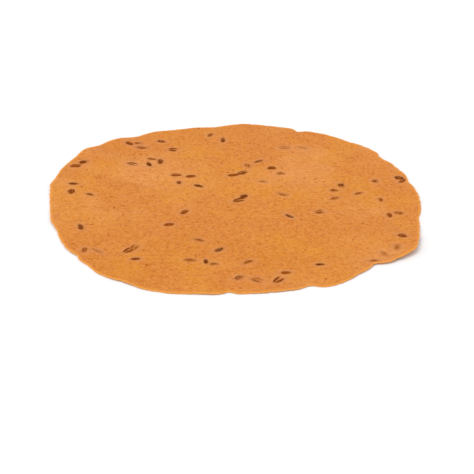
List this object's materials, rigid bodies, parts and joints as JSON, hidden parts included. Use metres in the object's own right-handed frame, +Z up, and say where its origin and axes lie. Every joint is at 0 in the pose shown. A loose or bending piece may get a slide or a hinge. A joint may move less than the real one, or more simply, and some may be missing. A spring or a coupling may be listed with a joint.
{
  "type": "red chilli papadum",
  "caption": "Thin round raw papadum, orange with red chilli, its rim lifting in low waves, with dark cumin seeds rolled into the dough.",
  "frame": {"origin": "middle of the disc's bounding box, on the table under it", "axes": "+Z up, -Y towards the front of the picture, +X to its right"},
  "size_m": [0.1786, 0.1756, 0.0028],
  "materials": {
    "dough": "matte",
    "cumin": "matte",
    "chilli": "matte"
  },
  "bodies": {
    "root": {"papadum": "dough"}
  },
  "joints": []
}
